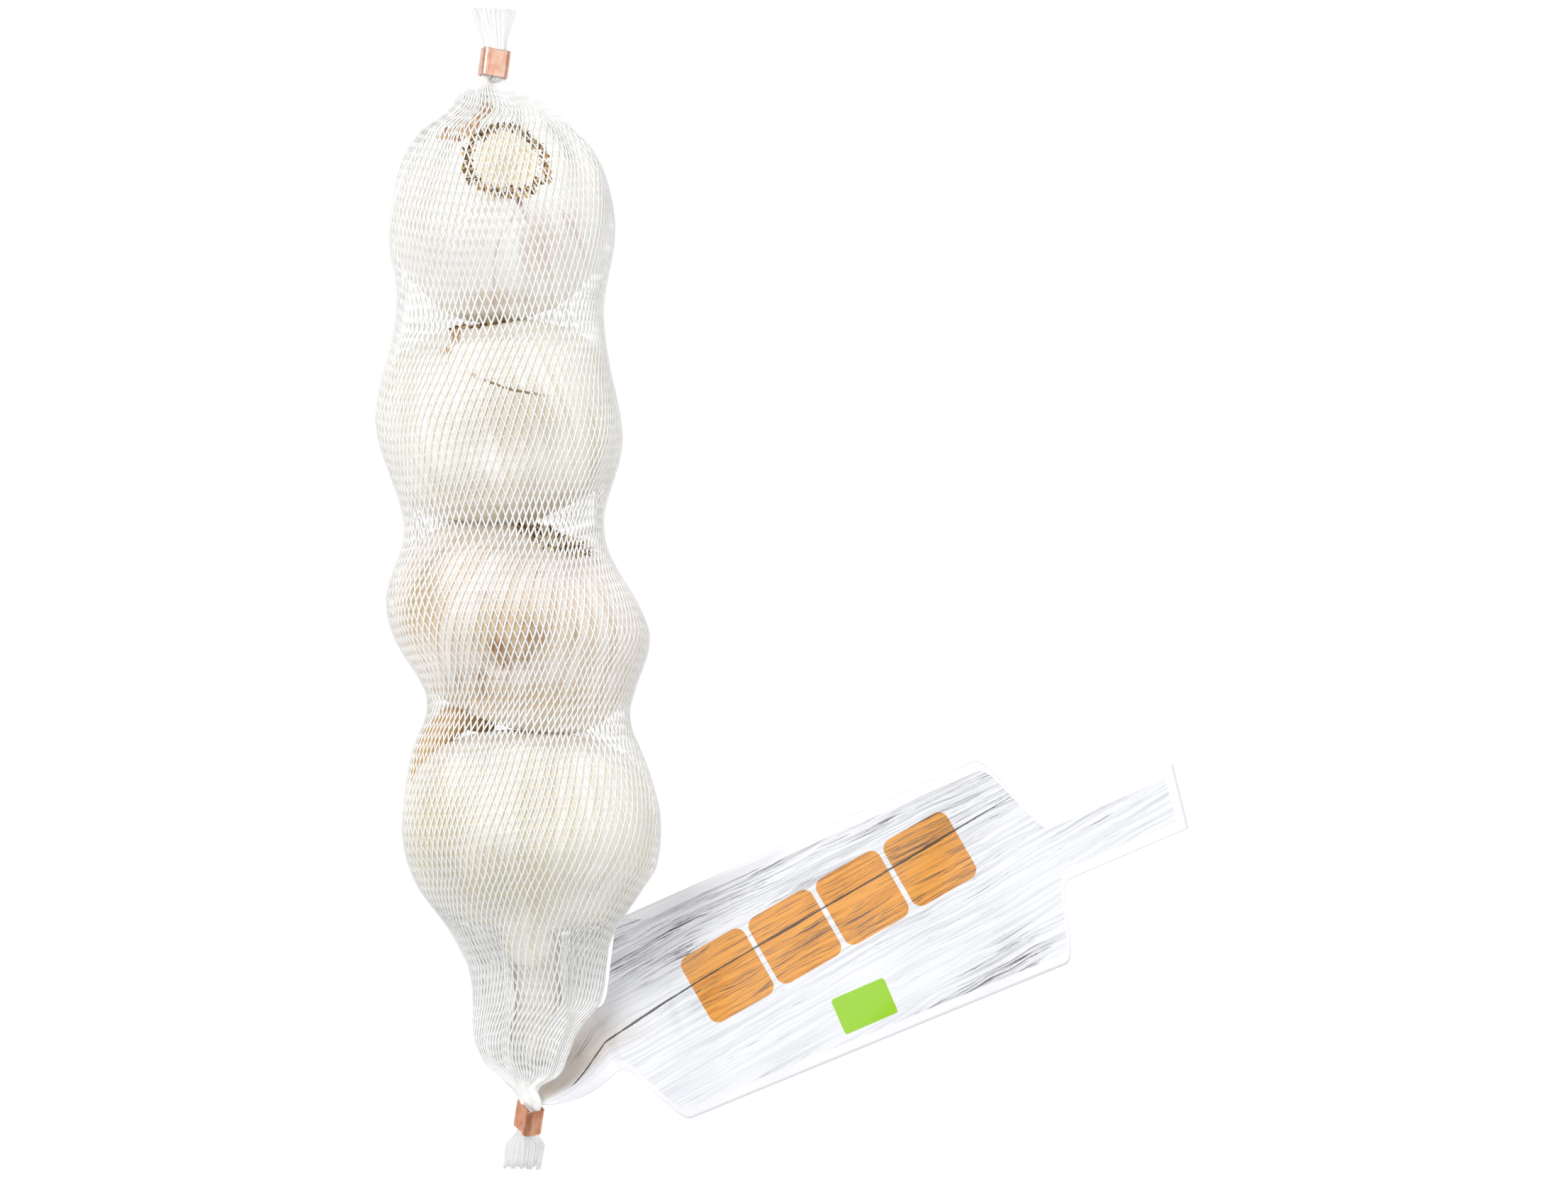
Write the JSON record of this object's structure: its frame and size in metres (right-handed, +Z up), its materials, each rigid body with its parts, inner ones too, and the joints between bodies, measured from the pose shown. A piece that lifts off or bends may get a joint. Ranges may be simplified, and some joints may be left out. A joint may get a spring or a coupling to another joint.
{
  "type": "net of garlic bulbs",
  "caption": "Garlic bulbs in a long white net sleeve, gathered into a metal clip at each end, with a wide film label held in the lower clip.",
  "frame": {"origin": "on the surface the pack lies on, under the middle of the whole pack, label included", "axes": "+Y along the net towards its top clip, +X to the side the label lies on, +Z up"},
  "size_m": [0.1833, 0.2636, 0.0527],
  "materials": {
    "net": "satin",
    "clip": "polished",
    "label": "gloss"
  },
  "bodies": {
    "root": {"net_sleeve": "net", "clip_top": "clip", "clip_bottom": "clip", "label": "label"}
  },
  "joints": []
}
